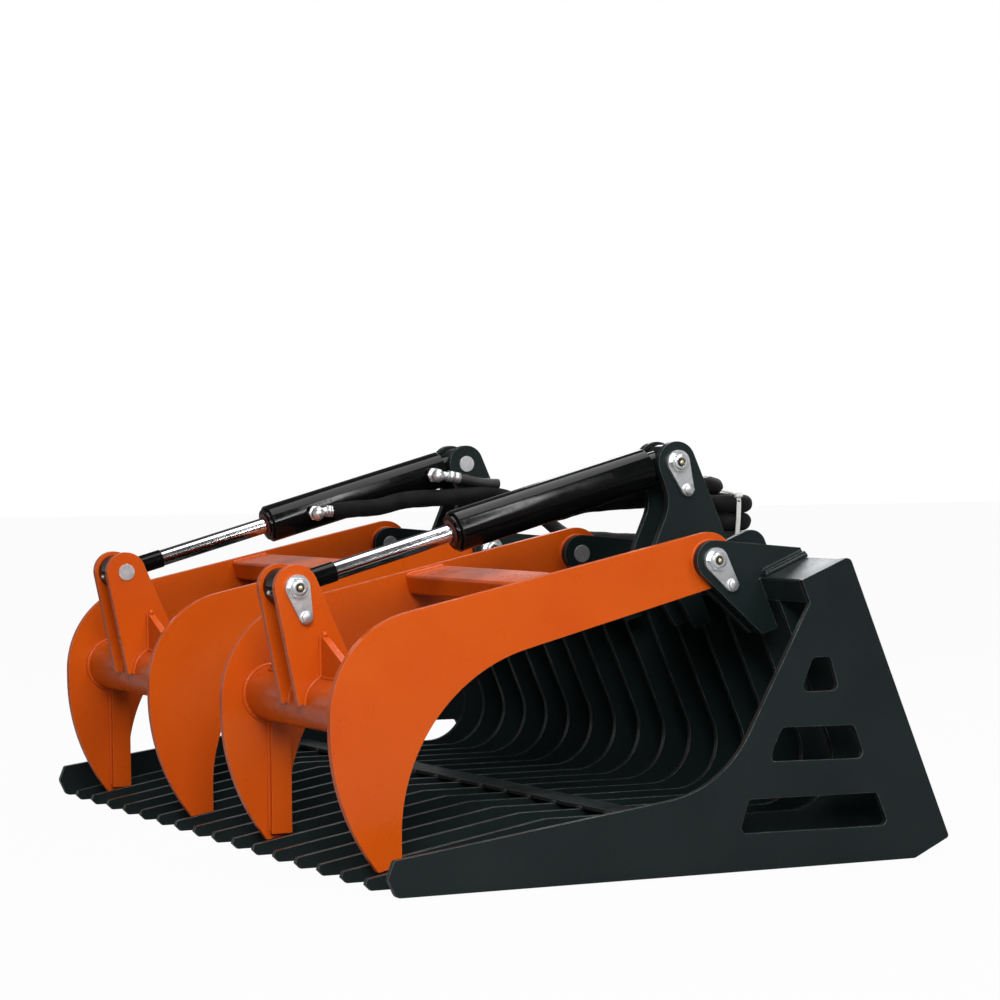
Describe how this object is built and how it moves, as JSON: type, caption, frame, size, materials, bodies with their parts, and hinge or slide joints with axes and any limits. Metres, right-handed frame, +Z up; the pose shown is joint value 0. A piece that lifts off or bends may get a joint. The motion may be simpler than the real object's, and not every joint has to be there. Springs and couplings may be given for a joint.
{
  "type": "skeleton grapple",
  "caption": "Tined skeleton bucket with two independent clamp arms, each closed by its own hydraulic cylinder, and a leaning loader plate behind.",
  "frame": {"origin": "middle of the bounding box at ground level", "axes": "+X to the right side plate, +Y from the tine tips towards the loader, +Z up"},
  "size_m": [1.524, 1.0116, 0.6362],
  "materials": {
    "black_enamel": "satin",
    "orange_enamel": "gloss",
    "gloss_black": "gloss",
    "chrome": "polished",
    "machined_iron": "machined",
    "woven_sleeve": "woven",
    "zinc": "zinc plated"
  },
  "bodies": {
    "bucket": {"right_side_plate": "black_enamel", "left_side_plate": "black_enamel", "tine_01": "black_enamel", "tine_02": "black_enamel", "tine_03": "black_enamel", "tine_04": "black_enamel", "tine_05": "black_enamel", "tine_06": "black_enamel", "tine_07": "black_enamel", "tine_08": "black_enamel", "tine_09": "black_enamel", "tine_10": "black_enamel", "tine_11": "black_enamel", "tine_12": "black_enamel", "tine_13": "black_enamel", "tine_14": "black_enamel", "tine_15": "black_enamel", "tine_16": "black_enamel", "cross_bars": "black_enamel", "top_beam": "black_enamel", "attach_plate": "black_enamel", "attach_shelf": "black_enamel", "attach_gussets": "black_enamel", "right_pivot_ears": "black_enamel", "left_pivot_ears": "black_enamel", "right_cylinder_towers": "black_enamel", "left_cylinder_towers": "black_enamel", "pivot_pins": "zinc", "base_pins": "zinc", "fixed_pin_keepers": "zinc", "hose_bracket": "black_enamel", "beam_hoses": "woven_sleeve", "hose_hank": "woven_sleeve", "hose_couplers": "machined_iron"},
    "right_arm": {"right_outer_claw": "orange_enamel", "right_inner_claw": "orange_enamel", "right_cross_tube": "orange_enamel", "right_cross_member": "orange_enamel", "right_rod_lugs": "orange_enamel", "right_rod_pin_ends": "zinc"},
    "right_barrel": {"right_barrel": "gloss_black", "right_gland": "gloss_black", "right_barrel_hoses": "woven_sleeve"},
    "right_rod": {"right_piston_rod": "chrome", "right_piston": "machined_iron", "right_rod_eye": "gloss_black", "right_rod_pin": "zinc"},
    "left_arm": {"left_outer_claw": "orange_enamel", "left_inner_claw": "orange_enamel", "left_cross_tube": "orange_enamel", "left_cross_member": "orange_enamel", "left_rod_lugs": "orange_enamel", "left_rod_pin_ends": "zinc"},
    "left_barrel": {"left_barrel": "gloss_black", "left_gland": "gloss_black", "left_barrel_hoses": "woven_sleeve"},
    "left_rod": {"left_piston_rod": "chrome", "left_piston": "machined_iron", "left_rod_eye": "gloss_black", "left_rod_pin": "zinc"}
  },
  "joints": [
    {"name": "right_arm_hinge", "type": "hinge", "parent": "bucket", "child": "right_arm", "pos_m": [0.393, 0.12307, 0.45508], "axis": [-1, 0, 0], "range_deg": [0, 75]},
    {"name": "right_barrel_hinge", "type": "hinge", "parent": "bucket", "child": "right_barrel", "pos_m": [0.393, 0.17287, 0.60318], "axis": [-1, 0, 0], "range_deg": [0, 76.5]},
    {"name": "right_rod_slide", "type": "slide", "parent": "right_barrel", "child": "right_rod", "axis": [0, 0.9629, 0.2698], "range_m": [0, 0.19]},
    {"name": "left_arm_hinge", "type": "hinge", "parent": "bucket", "child": "left_arm", "pos_m": [-0.393, 0.12307, 0.45508], "axis": [-1, 0, 0], "range_deg": [0, 75]},
    {"name": "left_barrel_hinge", "type": "hinge", "parent": "bucket", "child": "left_barrel", "pos_m": [-0.393, 0.17287, 0.60318], "axis": [-1, 0, 0], "range_deg": [0, 76.5]},
    {"name": "left_rod_slide", "type": "slide", "parent": "left_barrel", "child": "left_rod", "axis": [0, 0.9629, 0.2698], "range_m": [0, 0.19]}
  ],
  "couplings": [
    {"joint": "right_barrel_hinge", "follows": "right_arm_hinge", "ratio": 1.017},
    {"joint": "right_rod_slide", "follows": "right_arm_hinge", "m_per_rad": 0.145},
    {"joint": "left_barrel_hinge", "follows": "left_arm_hinge", "ratio": 1.017},
    {"joint": "left_rod_slide", "follows": "left_arm_hinge", "m_per_rad": 0.145}
  ]
}
